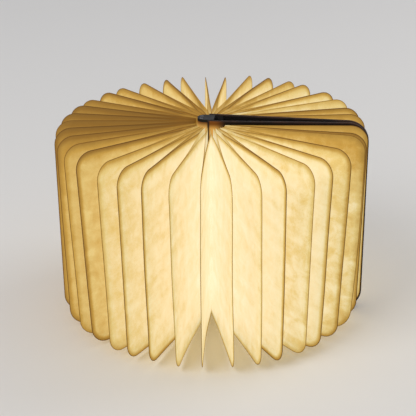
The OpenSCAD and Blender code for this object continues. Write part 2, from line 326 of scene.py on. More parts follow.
# %% Lamp glow: the leaves to either side
across = add_node(lamp_glow, "ShaderNodeMath", operation="DIVIDE")
sideways = add_node(lamp_glow, "ShaderNodeMath", operation="ABSOLUTE")
to_the_side = add_node(lamp_glow, "ShaderNodeMapRange", interpolation_type="SMOOTHSTEP",
                       in_1=0.80, in_2=1.0)
high_side = add_node(lamp_glow, "ShaderNodeMapRange", interpolation_type="SMOOTHSTEP",
                     in_1=0.13, in_2=0.21, in_3=0.0, in_4=-0.36)
left_dim = add_node(lamp_glow, "ShaderNodeMapRange", interpolation_type="SMOOTHSTEP",
                    in_1=-1.0, in_2=-0.5, in_3=0.84, in_4=1.0)
corner_dim = add_node(lamp_glow, "ShaderNodeMath", operation="MULTIPLY_ADD")
dimmed = add_node(lamp_glow, "ShaderNodeMath", operation="MULTIPLY")
wire(lamp_glow,
     (split.outputs["X"], across.inputs[0]), (reach.outputs["Value"], across.inputs[1]),
     (across.outputs["Value"], sideways.inputs[0]),
     (sideways.outputs["Value"], to_the_side.inputs["Value"]),
     (split.outputs["Z"], high_side.inputs["Value"]),
     (across.outputs["Value"], left_dim.inputs["Value"]),
     (to_the_side.outputs["Result"], corner_dim.inputs[0]),
     (high_side.outputs["Result"], corner_dim.inputs[1]),
     (left_dim.outputs["Result"], corner_dim.inputs[2]),
     (total.outputs["Value"], dimmed.inputs[0]), (corner_dim.outputs["Value"], dimmed.inputs[1]),
     (dimmed.outputs["Value"], end.inputs["Glow"]))
print("group", lamp_glow.name, "has", len(lamp_glow.nodes), "nodes")

# %% [markdown]
# ### Distance inside a rounded outline
# A dark line runs round each leaf: along its outer fold, round its two corners and along its
# top and bottom edges. It is partly real, where the paper is seen on edge and two layers
# overlap, and partly painted shade in the gap behind the fold. A cover is worn along the same
# kind of line. Each of these pieces carries a UV map in metres, its distance from the middle line
# across and its height up, and this group measures from there how far a point lies inside a
# rectangle with rounded corners.

# %% Leaf sizes
FOLD_R = 0.161            # distance of the outer fold from the middle line
INNER_R = 0.0165          # distance of the inner folds from the middle line
TOUCH_R = 0.032           # neighbours touch from their inner fold out to here
LEAF_LOW, LEAF_HIGH = 0.004, 0.211
LEAF_MIDDLE = 0.1075      # height half way up a leaf
LEAF_CORNER = 0.018
LEAVES_A_SIDE = 19
LEAF_STEP = 180 / LEAVES_A_SIDE
ROOT_PITCH = 1.35 * 0.00043     # from the root of one leaf to the next, along the bar's width
print("leaf", round(1000 * (LEAF_HIGH - LEAF_LOW)), "mm high, step", round(LEAF_STEP, 2), "degrees")

# %% Group: rounded outline
rounded_outline, start, end = new_group(
    "rounded outline",
    [("Page", "NodeSocketVector", None), ("Middle", "NodeSocketVector", None),
     ("Inner Box", "NodeSocketVector", None), ("Corner", "NodeSocketFloat", 0.018)],
    [("Inside", "NodeSocketFloat")])
from_middle = add_node(rounded_outline, "ShaderNodeVectorMath", operation="SUBTRACT")
folded = add_node(rounded_outline, "ShaderNodeVectorMath", operation="ABSOLUTE")
past_corner = add_node(rounded_outline, "ShaderNodeVectorMath", operation="SUBTRACT")
outer_part = add_node(rounded_outline, "ShaderNodeVectorMath", operation="MAXIMUM", in_1=(0, 0, 0))
outer_length = add_node(rounded_outline, "ShaderNodeVectorMath", operation="LENGTH")
parts = add_node(rounded_outline, "ShaderNodeSeparateXYZ")
inner_most = add_node(rounded_outline, "ShaderNodeMath", operation="MAXIMUM")
inner_part = add_node(rounded_outline, "ShaderNodeMath", operation="MINIMUM", in_1=0.0)
signed = add_node(rounded_outline, "ShaderNodeMath", operation="ADD")
inside = add_node(rounded_outline, "ShaderNodeMath", operation="SUBTRACT")
wire(rounded_outline,
     (start.outputs["Page"], from_middle.inputs[0]),
     (start.outputs["Middle"], from_middle.inputs[1]),
     (start.outputs["Inner Box"], past_corner.inputs[1]),
     (start.outputs["Corner"], inside.inputs[0]),
     (from_middle.outputs["Vector"], folded.inputs[0]),
     (folded.outputs["Vector"], past_corner.inputs[0]),
     (past_corner.outputs["Vector"], outer_part.inputs[0]),
     (outer_part.outputs["Vector"], outer_length.inputs[0]),
     (past_corner.outputs["Vector"], parts.inputs["Vector"]),
     (parts.outputs["X"], inner_most.inputs[0]), (parts.outputs["Y"], inner_most.inputs[1]),
     (inner_most.outputs["Value"], inner_part.inputs[0]),
     (outer_length.outputs["Value"], signed.inputs[0]),
     (inner_part.outputs["Value"], signed.inputs[1]),
     (signed.outputs["Value"], inside.inputs[1]),
     (inside.outputs["Value"], end.inputs["Inside"]))
print("group", rounded_outline.name)


def outline_of(tree, reach, low, high, corner):
    """The group, set for a sheet from the middle line out to reach, and from low to high."""
    half = (high - low) / 2
    return place_group(tree, rounded_outline, Middle=(0, low + half, 0),
                       Inner_Box=(reach - corner, half - corner, 0), Corner=corner)


# %% [markdown]
# ### Grain
# Leather shows small pebbles with creases between them, and moulded plastic a fine haze. One
# group makes both: cells for the pebbles, and a noise that breaks them up.

# %% Group: surface grain
surface_grain, start, end = new_group(
    "surface grain",
    [("Vector", "NodeSocketVector", None), ("Pebble Scale", "NodeSocketFloat", 900.0),
     ("Patch Scale", "NodeSocketFloat", 30.0), ("Pebbles", "NodeSocketFloat", 1.0)],
    [("Height", "NodeSocketFloat"), ("Patches", "NodeSocketFloat"),
     ("Creases", "NodeSocketFloat")])
cells = add_node(surface_grain, "ShaderNodeTexVoronoi", feature="DISTANCE_TO_EDGE")
crease = add_node(surface_grain, "ShaderNodeMapRange", interpolation_type="SMOOTHSTEP",
                  in_1=0.0, in_2=0.28)
haze = add_node(surface_grain, "ShaderNodeTexNoise", in_Detail=4.0)
patches = add_node(surface_grain, "ShaderNodeTexNoise", in_Detail=3.0, in_Roughness=0.55)
pebbled = add_node(surface_grain, "ShaderNodeMath", operation="MULTIPLY")
height = add_node(surface_grain, "ShaderNodeMath", operation="MULTIPLY_ADD", in_1=0.5)
patch_range = add_node(surface_grain, "ShaderNodeMapRange", in_1=0.35, in_2=0.65)
wire(surface_grain,
     (start.outputs["Vector"], cells.inputs["Vector"]),
     (start.outputs["Pebble Scale"], cells.inputs["Scale"]),
     (start.outputs["Vector"], haze.inputs["Vector"]),
     (start.outputs["Pebble Scale"], haze.inputs["Scale"]),
     (start.outputs["Vector"], patches.inputs["Vector"]),
     (start.outputs["Patch Scale"], patches.inputs["Scale"]),
     (cells.outputs["Distance"], crease.inputs["Value"]),
     (crease.outputs["Result"], pebbled.inputs[0]), (start.outputs["Pebbles"], pebbled.inputs[1]),
     (haze.outputs["Fac"], height.inputs[0]), (pebbled.outputs["Value"], height.inputs[2]),
     (patches.outputs["Fac"], patch_range.inputs["Value"]),
     (height.outputs["Value"], end.inputs["Height"]),
     (patch_range.outputs["Result"], end.inputs["Patches"]),
     (crease.outputs["Result"], end.inputs["Creases"]))
print("group", surface_grain.name)

# %% [markdown]
# ## The lit paper
# The paper has a warm base colour of its own, and the light that comes through it is added as
# emission. Where little of that light comes through, the base colour is painted a darker brown:
# painted shade. A colour ramp turns the amount of glow into a colour: amber where little gets
# through, and cream where much does. The clouds of the fibre thin and thicken the light, and
# the line round the outline takes it away, with a soft shade beside it. No two leaves are quite
# alike, so each carries two values of its own as attributes: how dense its paper is, and how much
# more or less light its edges catch. The leaves, the insides of their folds and the sheets glued
# in the covers are all this paper, lit more or less, so one function makes the three materials;
# the insides of the folds also have a darker base colour, which is painted shade.


# %% Function: page map
def page_of(tree, place, page_from):
    """A leaf's own map for "uv". For "place", a solid part's own X across and Z up."""
    if page_from == "uv":
        return add_node(tree, "ShaderNodeUVMap", uv_map="page").outputs["UV"]
    parts = add_node(tree, "ShaderNodeSeparateXYZ")
    flat = add_node(tree, "ShaderNodeCombineXYZ")
    wire(tree, (place.outputs["Object"], parts.inputs["Vector"]),
         (parts.outputs["X"], flat.inputs["X"]), (parts.outputs["Z"], flat.inputs["Y"]))
    return flat.outputs["Vector"]


# %% Function: clouds and fibres
def cloudy_paper(tree, place):
    """How much light the paper lets through, and the height of its surface."""
    fibre_look = place_group(tree, paper_fibres)
    mottle = add_node(tree, "ShaderNodeMapRange", in_1=0.0, in_2=1.0, in_3=0.89, in_4=1.04)
    speckle = add_node(tree, "ShaderNodeMapRange", in_1=0.0, in_2=1.0, in_3=0.96, in_4=1.03)
    dense = add_node(tree, "ShaderNodeAttribute", attribute_name="dense")
    thicker = add_node(tree, "ShaderNodeMapRange", in_1=0.0, in_2=1.0, in_3=-0.20, in_4=-0.07)
    thinned = add_node(tree, "ShaderNodeMath", operation="MULTIPLY_ADD")
    cloudy = add_node(tree, "ShaderNodeMath", operation="MULTIPLY")
    wire(tree,
         (place.outputs["Object"], fibre_look.inputs["Vector"]),
         (fibre_look.outputs["Cloud"], mottle.inputs["Value"]),
         (fibre_look.outputs["Fibre"], speckle.inputs["Value"]),
         (fibre_look.outputs["Cloud"], thicker.inputs["Value"]),
         (dense.outputs["Fac"], thinned.inputs[0]), (thicker.outputs["Result"], thinned.inputs[1]),
         (mottle.outputs["Result"], thinned.inputs[2]),
         (thinned.outputs["Value"], cloudy.inputs[0]),
         (speckle.outputs["Result"], cloudy.inputs[1]))
    return cloudy.outputs["Value"], fibre_look.outputs["Height"]


# %% Function: line and shade round the outline
# The fine line is partly the paper seen on edge and partly painted shade.
LINE_WIDE = 0.0011        # width of the fine line, soft at both sides
SHADE_WIDE = 0.0065       # width of the soft shade beside it


def outline_marks(tree, page, line_low, shade_low):
    """The share of the light that the line leaves, and that line and shade leave together."""
    outline = outline_of(tree, FOLD_R, LEAF_LOW, LEAF_HIGH, LEAF_CORNER)
    out_and_up = add_node(tree, "ShaderNodeSeparateXYZ")
    root_fade = add_node(tree, "ShaderNodeMapRange", interpolation_type="SMOOTHSTEP",
                         in_1=0.03, in_2=0.13, in_3=(1 + line_low) / 2, in_4=line_low)
    catch = add_node(tree, "ShaderNodeAttribute", attribute_name="catch")
    line_at_root = add_node(tree, "ShaderNodeMath", operation="ADD")
    line = add_node(tree, "ShaderNodeMapRange", interpolation_type="SMOOTHSTEP",
                    in_1=0.0002, in_2=LINE_WIDE, in_4=1.0)
    shade_at_edge = add_node(tree, "ShaderNodeMath", operation="ADD", in_1=shade_low)
    shade = add_node(tree, "ShaderNodeMapRange", interpolation_type="SMOOTHSTEP",
                     in_1=0.0, in_2=SHADE_WIDE, in_4=1.0)
    marks = add_node(tree, "ShaderNodeMath", operation="MULTIPLY")
    wire(tree,
         (page, outline.inputs["Page"]), (page, out_and_up.inputs["Vector"]),
         (out_and_up.outputs["X"], root_fade.inputs["Value"]),
         (outline.outputs["Inside"], line.inputs["Value"]),
         (root_fade.outputs["Result"], line_at_root.inputs[0]),
         (catch.outputs["Fac"], line_at_root.inputs[1]),
         (line_at_root.outputs["Value"], line.inputs[3]),
         (catch.outputs["Fac"], shade_at_edge.inputs[0]),
         (shade_at_edge.outputs["Value"], shade.inputs[3]),
         (outline.outputs["Inside"], shade.inputs["Value"]),
         (line.outputs["Result"], marks.inputs[0]), (shade.outputs["Result"], marks.inputs[1]))
    return line.outputs["Result"], marks.outputs["Value"]


# %% Function: from glow to colour
def glow_colours(tree):
    """The ramp that turns an amount of glow into a colour, from none to nearly white."""
    colours = add_node(tree, "ShaderNodeValToRGB")
    ramp = colours.color_ramp
    ramp.elements[0].color = (0.0, 0.0, 0.0, 1)
    ramp.elements[1].color = (0.70, 0.73, 0.56, 1)
    for at, colour in ((0.25, (0.08, 0.037, 0.003, 1)), (0.5, (0.28, 0.18, 0.037, 1)),
                       (0.7, (0.49, 0.425, 0.18, 1)), (0.82, (0.61, 0.59, 0.37, 1))):
        ramp.elements.new(at).color = colour
    return colours


# %% Function: lit paper
def paper_material(name, page_from, near, far, base_colour, line_low=0.38, shade_low=0.66):
    """Fibre paper lit from behind. line_low and shade_low are the light left at the outline."""
    material, tree, shader = new_material(name)
    place = add_node(tree, "ShaderNodeTexCoord")
    cloudy, height = cloudy_paper(tree, place)
    line, marks = outline_marks(tree, page_of(tree, place, page_from), line_low, shade_low)
    glow = place_group(tree, lamp_glow, Near=near, Far=far)
    shaded, amount, depth = [add_node(tree, "ShaderNodeMath", operation="MULTIPLY")
                             for _ in range(3)]
    colours = glow_colours(tree)
    # Painted shade: where little glow comes through, the base colour turns to the dark brown below,
    # and the line darkens it the same way.
    painted_shade = add_node(tree, "ShaderNodeMapRange", in_1=0.0, in_2=0.6, in_3=0.35, in_4=1.0)
    base = add_node(tree, "ShaderNodeMix", data_type="RGBA")
    base.inputs[6].default_value = (0.14, 0.064, 0.016, 1)
    base.inputs[7].default_value = (*base_colour, 1)
    bump = add_node(tree, "ShaderNodeBump", in_Strength=0.25, in_Distance=0.0003)
    wire(tree,
         (place.outputs["Object"], glow.inputs["Vector"]),
         (cloudy, shaded.inputs[0]), (marks, shaded.inputs[1]),
         (glow.outputs["Glow"], amount.inputs[0]), (shaded.outputs["Value"], amount.inputs[1]),
         (amount.outputs["Value"], colours.inputs["Fac"]),
         (colours.outputs["Color"], shader.inputs["Emission Color"]),
         (amount.outputs["Value"], painted_shade.inputs["Value"]),
         (painted_shade.outputs["Result"], depth.inputs[0]), (line, depth.inputs[1]),
         (depth.outputs["Value"], base.inputs[0]),
         (base.outputs[2], shader.inputs["Base Color"]),
         (height, bump.inputs["Height"]),
         (bump.outputs["Normal"], shader.inputs["Normal"]))
    shader.inputs["Emission Strength"].default_value = 1.0
    shader.inputs["Roughness"].default_value = 0.8
    shader.inputs["Specular IOR Level"].default_value = 0.15
    return material


# %% The three papers
lit_paper = paper_material("lit_paper", "uv", 0.95, 0.80, (0.40, 0.225, 0.046))
# The insides of the folds take less glow, and a darker base colour that is painted shade.
shaded_fold_inside = paper_material("shaded_fold_inside", "uv", 0.86, 0.45, (0.30, 0.14, 0.02),
                             line_low=0.8, shade_low=0.9)
endsheet_paper = paper_material("endsheet_paper", "place", 0.66, 0.45, (0.30, 0.155, 0.04),
                                shade_low=0.35)
print("materials", lit_paper.name, shaded_fold_inside.name, endsheet_paper.name)

# %% [markdown]
# ## The leaves
# One long sheet of paper is folded to and fro. Each leaf is two layers of it, joined along the
# outer fold, and the inner folds near the bar join it to its neighbours. Close to the bar
# neighbours are pressed together. Further out the two layers of a leaf soon come together, and
# they close at its outer fold. The whole sheet could be one mesh, but each leaf has to turn with
# a joint of its own, so each is a piece.
# A flat sheet is made first: a rectangle with its two outer corners bevelled, cut by planes into
# a net. Each leaf then takes two copies of the sheet and sets them in their places round the
# bar. No real leaf stands quite straight, so each has its own lean towards the cover, its own
# twist from bottom to top, and a lift or sag of its outer edge.

# %% A flat sheet, cut into a net
UPRIGHT = Matrix.Rotation(math.pi / 2, 3, "X")      # stands a flat grid up in the XZ plane


def flat_sheet(rows=15, columns=12):
    """One layer of a leaf: X is the distance from the middle line, Z the height."""
    bm = bmesh.new()
    bmesh.ops.create_grid(bm, x_segments=1, y_segments=1, size=0.5)
    bmesh.ops.scale(bm, vec=(FOLD_R - INNER_R, LEAF_HIGH - LEAF_LOW, 1), verts=bm.verts)
    bmesh.ops.rotate(bm, cent=(0, 0, 0), matrix=UPRIGHT, verts=bm.verts)
    middle = ((FOLD_R + INNER_R) / 2, 0, (LEAF_HIGH + LEAF_LOW) / 2)
    bmesh.ops.translate(bm, vec=middle, verts=bm.verts)
    corners = [v for v in bm.verts if v.co.x > FOLD_R / 2]
    bmesh.ops.bevel(bm, geom=corners, offset=LEAF_CORNER, offset_type="OFFSET", segments=10,
                    profile=0.5, affect="VERTICES", material=-1)
    heights = [LEAF_LOW + (LEAF_HIGH - LEAF_LOW) * i / rows for i in range(1, rows)]
    reaches = [TOUCH_R + (FOLD_R - TOUCH_R) * i / columns for i in range(columns)]
    for place, normal in ([((0, 0, z), (0, 0, 1)) for z in heights]
                          + [((x, 0, 0), (1, 0, 0)) for x in reaches]):
        bmesh.ops.bisect_plane(bm, geom=bm.verts[:] + bm.edges[:] + bm.faces[:], dist=1e-7,
                               plane_co=place, plane_no=normal)
    return bm


sheet = flat_sheet()
master_sheet = bpy.data.meshes.new("master_sheet")
sheet.to_mesh(master_sheet)
sheet.free()
print("one layer:", len(master_sheet.vertices), "corners,", len(master_sheet.polygons), "faces")

# %% How each leaf stands
# The first entry of each list is leaf 1, and -1 is the front half. LEAN is in degrees towards the
# cover, TWIST in degrees over 100 mm of height, and LIFT in mm at the outer fold.
LEAN = {-1: (0, -0.2, 0.3, 1.0, 0.8, 2.1, 1.2, 0.9, 1.4, 1.8, 3.4, 4.1, 3.4, 4.8, 3.8, 5.5, 13.2,
             7.0, 6.2),
        1: (0, 0.4, 0.8, 1.2, 1.6, 2.2, 2.9, 2.0, 1.9, 1.7, 2.5, 2.2, 2.4, 1.5, 4.5, 4.8, 6.0,
            5.0, 5.0)}
TWIST = {-1: (-0.5, -1.5, -3.0, -3.5, -2.6, -1.5, -1.1, -0.7, -0.9, -0.2, -0.7, -0.5, -0.1, 0.4,
              1.5, 1.8, 5.0, 1.2, 0.3),
         1: (0.3, 0.8, -0.6, 0.5, -0.9, 0.2, 0.7, -0.4, 0.3, -0.6, 0.4, -0.2, 0.6, -0.5, 0.3,
             0.8, 1.0, 0.5, 0.3)}
LIFT = {-1: (0, -0.5, -1, -0.3, 0.7, -0.3, -0.2, 1.2, -0.3, 0.9, 0.7, 0.2, 0.5, 1.3, 1.3, 2.0,
             1.5, 1.5, 2.0),
        1: (-1, -1.5, -2, -2, -2.2, -2.3, -2.2, -0.8, -2.2, -2.4, 1.6, 1.5, 1.9, 1.8, 2.0, 1.4,
            1.0, 0.8, 0.8)}
CURL = {(-1, 17): -3.5}   # degrees: a further bend of the foot of one leaf
REACH_MORE = {17: 0.4, 18: 1.0, 19: 2.6}        # mm that the last leaves stand out further
DENSE = {(-1, 5): 0.4, (-1, 14): 0.5, (-1, 16): 0.6, (-1, 17): 0.8, (-1, 18): 0.5,
         (1, 6): 0.4, (1, 13): 0.5}             # thicker, cloudier paper: 0 is none of it
CATCH = 0.17              # how much more or less light the edge of one leaf catches
SPLAY = 1.4               # mm by which the fan widens over 100 mm of height
LAST_SPLAY = 0.4          # the same for the leaves beside the covers, which hold them straighter
AIR = 0.00015             # half of the gap between two layers that lie together
SHEET_Y, SHEET_SLOPE = 0.0125, 0.05077  # inner face of the sheet in a cover, from the hinge out
PER_HEIGHT = 0.1          # the height over which TWIST, SPLAY and LAST_SPLAY are given
print("leaves lean by up to", max(LEAN[-1]), "degrees in front and", max(LEAN[1]), "behind")


# %% Where the points of a leaf lie
def leaf_angle(k, side, height):
    """Angle of a leaf from the nose of the bar, in degrees, at that height."""
    up = (height - LEAF_MIDDLE) / PER_HEIGHT
    return ((k - 0.5) * LEAF_STEP + LEAN[side][k - 1] + TWIST[side][k - 1] * up
            + CURL.get((side, k), 0) * up * up)


def fold_reach(k, height):
    """Distance of the outer fold of leaf k from its root, at that height."""
    splay = SPLAY if k < LEAVES_A_SIDE else LAST_SPLAY
    return FOLD_R + 0.001 * (REACH_MORE.get(k, 0) + splay * (height - LEAF_MIDDLE) / PER_HEIGHT)


def spot(k, side, reach, angle, off=0.0):
    """The point at that reach and angle from the root of leaf k, off towards its cover."""
    turn = math.radians(angle)
    along = reach * math.sin(turn) + off * math.cos(turn)
    return Vector((-reach * math.cos(turn) + off * math.sin(turn),
                   side * (ROOT_PITCH * (k - 0.5) + along), 0))


def inner_spot(k, side, outward, reach, height):
    """A point of a layer where it lies against its neighbour, or against the cover's sheet."""
    if k == LEAVES_A_SIDE and outward > 0:
        return Vector((reach, side * (SHEET_Y - SHEET_SLOPE * reach), 0))
    if k == 1 and outward < 0:
        return spot(1, side, reach, 0, ROOT_PITCH / -2 + AIR)
    other = leaf_angle(k + outward, side, height)
    middle = (leaf_angle(k, side, height) + other) / 2
    return spot(k + outward / 2, side, reach, middle, -outward * AIR)


print("leaf 12 stands at", round(leaf_angle(12, -1, LEAF_MIDDLE), 1), "degrees")

# %% One layer of a leaf
FOLD_HALF = 0.00016       # half of the width of the outer fold
CLOSING = 2.6             # how fast the two layers come together: 1 is a straight wedge
PAPER_T = 0.00012         # thickness of one layer
WAVER = 0.0013            # how far the paper strays at most
BENDS_OUT, BENDS_UP = 11, 9     # how close its bends follow each other, outwards and up


def waver(k, side, reach, height):
    """How far the paper strays to one side, which is nothing where neighbours touch."""
    share = (reach - TOUCH_R) / (FOLD_R - TOUCH_R)
    if share <= 0:
        return 0.0
    seed = Vector((k * 3.17, side * 5.3, 0.7))
    slow = noise.noise(seed + Vector((reach * BENDS_OUT, 0, height * BENDS_UP)))
    return WAVER * slow * min(1.0, 2.5 * share)


def leaf_layer(k, side, outward):
    """One layer of a leaf, on its cover's side if outward is 1."""
    bm = bmesh.new()
    bm.from_mesh(master_sheet)
    page = bm.loops.layers.uv.new("page")
    for face in bm.faces:
        for loop in face.loops:
            loop[page].uv = (loop.vert.co.x, loop.vert.co.z)
    for v in bm.verts:
        reach, height = v.co.x, v.co.z
        if reach <= TOUCH_R:
            place = inner_spot(k, side, outward, reach, height)
        else:
            share = (reach - TOUCH_R) / (FOLD_R - TOUCH_R)
            angle = leaf_angle(k, side, height)
            out_to = TOUCH_R + (fold_reach(k, height) - TOUCH_R) * share
            opening = inner_spot(k, side, outward, TOUCH_R, height) - spot(k, side, TOUCH_R, angle)
            place = (spot(k, side, out_to, angle, outward * FOLD_HALF * share
                          + waver(k, side, reach, height)) + opening * (1 - share) ** CLOSING)
        lift = LIFT[side][k - 1] * 0.001 * (reach - INNER_R) / (FOLD_R - INNER_R)
        v.co = place + Vector((0, 0, height + lift))
    return bm


# %% Both layers of a leaf, with their thickness
def build_leaf(k, side):
    """A leaf: two layers joined along the outer fold, given the thickness of paper."""
    bm = leaf_layer(k, side, 1)
    other = bpy.data.meshes.new("other_layer")
    # The second layer faces the other way.
    layer = leaf_layer(k, side, -1)
    bmesh.ops.reverse_faces(layer, faces=layer.faces)
    layer.to_mesh(other)
    layer.free()
    bm.from_mesh(other)
    bpy.data.meshes.remove(other)
    # The open edges furthest from the bar are bridged, and make the outer fold.
    page = bm.loops.layers.uv["page"]
    far = [e for e in bm.edges if e.is_boundary
           and all(corner[page].uv.x > FOLD_R - 1e-6 for v in e.verts for corner in v.link_loops)]
    bridge = bmesh.ops.bridge_loops(bm, edges=far)["faces"]
    for face in bridge:
        for loop in face.loops:
            loop[page].uv = (FOLD_R, loop.vert.co.z)
    bmesh.ops.recalc_face_normals(bm, faces=bm.faces)
    # The leaf may have come out with all its faces turned in. A face near the root, on the side
    # of the cover, tells.
    angle = leaf_angle(k, side, 0.1)
    coverwards = spot(k, side, 0, angle, 1.0) - spot(k, side, 0, angle)
    near_root = [f for f in bm.faces if f.loops[0][page].uv.x < 0.045
                 and abs(f.loops[0][page].uv.y - LEAF_MIDDLE) < 0.02]
    probe = max(near_root, key=lambda f: f.calc_center_median().dot(coverwards))
    if probe.normal.dot(coverwards) < 0:
        bmesh.ops.reverse_faces(bm, faces=bm.faces)
    before = set(bm.faces)
    bmesh.ops.solidify(bm, geom=bm.faces[:], thickness=PAPER_T)
    return bm, before


bm, outer_faces = build_leaf(10, -1)
print("leaf:", len(bm.verts), "corners,", len(bm.faces), "faces,", len(outer_faces), "outside")
bm.free()

# %% [markdown]
# Its outer faces get the lit paper, and the faces between its two layers the darker mix, whose
# darker colour is painted shade. The inner folds are part of the leaves here, so two leaves also
# stand in for the strips of folds.

# %% All the leaves
for side, word in ((-1, "front"), (1, "back")):
    for k in range(1, LEAVES_A_SIDE + 1):
        node = f"{word}_leaf_{k:02d}"
        bm, outer_faces = build_leaf(k, side)
        for face in bm.faces:
            face.material_index = 0 if face in outer_faces else 1
        dense = bm.verts.layers.float.new("dense")
        catch = bm.verts.layers.float.new("catch")
        for v in bm.verts:
            v[dense] = DENSE.get((side, k), 0.0)
            v[catch] = CATCH * math.sin(2.4 * k + side)
        leaf = new_object(f"{word}_pleat_{k:02d}", bm)
        leaf.data.materials.append(lit_paper)
        leaf.data.materials.append(shaded_fold_inside)
        leaf.data.shade_smooth()
        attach(leaf, node)
        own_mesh(leaf)
        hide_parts(node)
for word in ("front", "back"):
    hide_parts(f"{word}_inner_folds")
bpy.data.meshes.remove(master_sheet)

# %% [markdown]
# ## Leather
# The covers and their hinges are a thin nearly black leather. Its grain is a net of small
# creases, and along the rim of a cover, where hands and tables rub it, the dye has gone reddish
# brown. The rim is found from the cover's own map, with the group that measures the distance
# inside a rounded outline, so the wear follows it wherever the cover goes. Beside the hinge, the
# inner side of a cover bounds the space round the lit bar, and glows with it: dark rust right at
# the top and orange below. The hinge strips are the same leather without either.

# %% Cover sizes
COVER_REACH, COVER_HIGH, COVER_T = 0.165, 0.215, 0.004
COVER_CORNER = 0.022
print("cover", [round(1000 * x, 1) for x in (COVER_REACH, COVER_HIGH, COVER_T)], "mm")


# %% Function: worn rim
WORN_WIDE = 0.0016        # the wear fades out over this distance from the rim


def worn_rim(tree, grain, colour):
    """The leather's colour, turned reddish in patches along the rim of a cover's page map."""
    page = add_node(tree, "ShaderNodeUVMap", uv_map="page")
    rim = outline_of(tree, COVER_REACH, 0.0, COVER_HIGH, COVER_CORNER)
    near_rim = add_node(tree, "ShaderNodeMapRange", interpolation_type="SMOOTHSTEP",
                        in_1=0.0003, in_2=WORN_WIDE, in_3=0.85, in_4=0.0)
    broken = add_node(tree, "ShaderNodeMath", operation="MULTIPLY")
    worn = add_node(tree, "ShaderNodeMix", data_type="RGBA")
    worn.inputs[7].default_value = (0.055, 0.019, 0.006, 1)
    wire(tree,
         (page.outputs["UV"], rim.inputs["Page"]),
         (rim.outputs["Inside"], near_rim.inputs["Value"]),
         (near_rim.outputs["Result"], broken.inputs[0]),
         (grain.outputs["Patches"], broken.inputs[1]),
         (broken.outputs["Value"], worn.inputs[0]), (colour.outputs[2], worn.inputs[6]))
    return worn.outputs[2]


# %% Function: light beside the hinge
DARK_TOP = 0.2125         # height, level with the end cap, where the bar's light is darkest
INNER_SIDE = (0.0108, 0.0122)           # across the cover: none of the light, all of it
NEAR_HINGE = (0.004, 0.018)             # out from the hinge: all of the light, none of it
ROUND_END = (-0.0012, 0.001)            # on the round end: none of the light, all of it


def hinge_light(tree, place):
    """The bar's light on a cover: on its inner side, near the hinge, but not on its round end."""
    parts = add_node(tree, "ShaderNodeSeparateXYZ")
    inward = add_node(tree, "ShaderNodeMath", operation="ABSOLUTE")
    facing = add_node(tree, "ShaderNodeMapRange", interpolation_type="SMOOTHSTEP",
                      in_1=INNER_SIDE[0], in_2=INNER_SIDE[1])
    by_hinge = add_node(tree, "ShaderNodeMapRange", interpolation_type="SMOOTHSTEP",
                        in_1=NEAR_HINGE[0], in_2=NEAR_HINGE[1], in_3=1.0, in_4=0.0)
    past_roll = add_node(tree, "ShaderNodeMapRange", interpolation_type="SMOOTHSTEP",
                         in_1=ROUND_END[0], in_2=ROUND_END[1])
    below_top = add_node(tree, "ShaderNodeMapRange", interpolation_type="SMOOTHSTEP",
                         in_1=DARK_TOP, in_2=0.2055)
    lit_part, seen_part = [add_node(tree, "ShaderNodeMath", operation="MULTIPLY")
                           for _ in range(2)]
    lit_colour = add_node(tree, "ShaderNodeMix", data_type="RGBA")
    lit_colour.inputs[6].default_value = (0.15, 0.042, 0.001, 1)
    lit_colour.inputs[7].default_value = (0.66, 0.32, 0.06, 1)
    lit = add_node(tree, "ShaderNodeMix", data_type="RGBA")
    lit.inputs[6].default_value = (0.0, 0.0, 0.0, 1)
    wire(tree,
         (place.outputs["Object"], parts.inputs["Vector"]),
         (parts.outputs["Z"], below_top.inputs["Value"]),
         (below_top.outputs["Result"], lit_colour.inputs[0]),
         (lit_colour.outputs[2], lit.inputs[7]),
         (parts.outputs["Y"], inward.inputs[0]),
         (inward.outputs["Value"], facing.inputs["Value"]),
         (parts.outputs["X"], by_hinge.inputs["Value"]),
         (parts.outputs["X"], past_roll.inputs["Value"]),
         (facing.outputs["Result"], lit_part.inputs[0]),
         (by_hinge.outputs["Result"], lit_part.inputs[1]),
         (lit_part.outputs["Value"], seen_part.inputs[0]),
         (past_roll.outputs["Result"], seen_part.inputs[1]),
         (seen_part.outputs["Value"], lit.inputs[0]))
    return lit.outputs[2]


# %% Function: leather
def leather_material(name, on_cover):
    """Dark leather with a fine grain. A cover's is also worn at its rim and lit by the bar."""
    material, tree, shader = new_material(name)
    place = add_node(tree, "ShaderNodeTexCoord")
    grain = place_group(tree, surface_grain, Pebble_Scale=850.0, Patch_Scale=38.0, Pebbles=1.0)
    colour = add_node(tree, "ShaderNodeMix", data_type="RGBA")
    colour.inputs[6].default_value = (0.004, 0.0022, 0.0014, 1)
    colour.inputs[7].default_value = (0.010, 0.006, 0.0038, 1)
    gloss = add_node(tree, "ShaderNodeMapRange", in_1=0.0, in_2=1.0, in_3=0.62, in_4=0.44)
    bump = add_node(tree, "ShaderNodeBump", in_Strength=0.55, in_Distance=0.00018)
    wire(tree,
         (place.outputs["Object"], grain.inputs["Vector"]),
         (grain.outputs["Patches"], colour.inputs[0]),
         (grain.outputs["Creases"], gloss.inputs["Value"]),
         (gloss.outputs["Result"], shader.inputs["Roughness"]),
         (grain.outputs["Height"], bump.inputs["Height"]),
         (bump.outputs["Normal"], shader.inputs["Normal"]),
         (colour.outputs[2], shader.inputs["Base Color"]))
    if on_cover:
        wire(tree,
             (worn_rim(tree, grain, colour), shader.inputs["Base Color"]),
             (hinge_light(tree, place), shader.inputs["Emission Color"]))
        shader.inputs["Emission Strength"].default_value = 1.0
    shader.inputs["Specular IOR Level"].default_value = 0.15
    return material


# %% The two leathers
cover_leather = leather_material("cover_leather", on_cover=True)
hinge_leather = leather_material("hinge_leather", on_cover=False)
print("materials", cover_leather.name, hinge_leather.name)

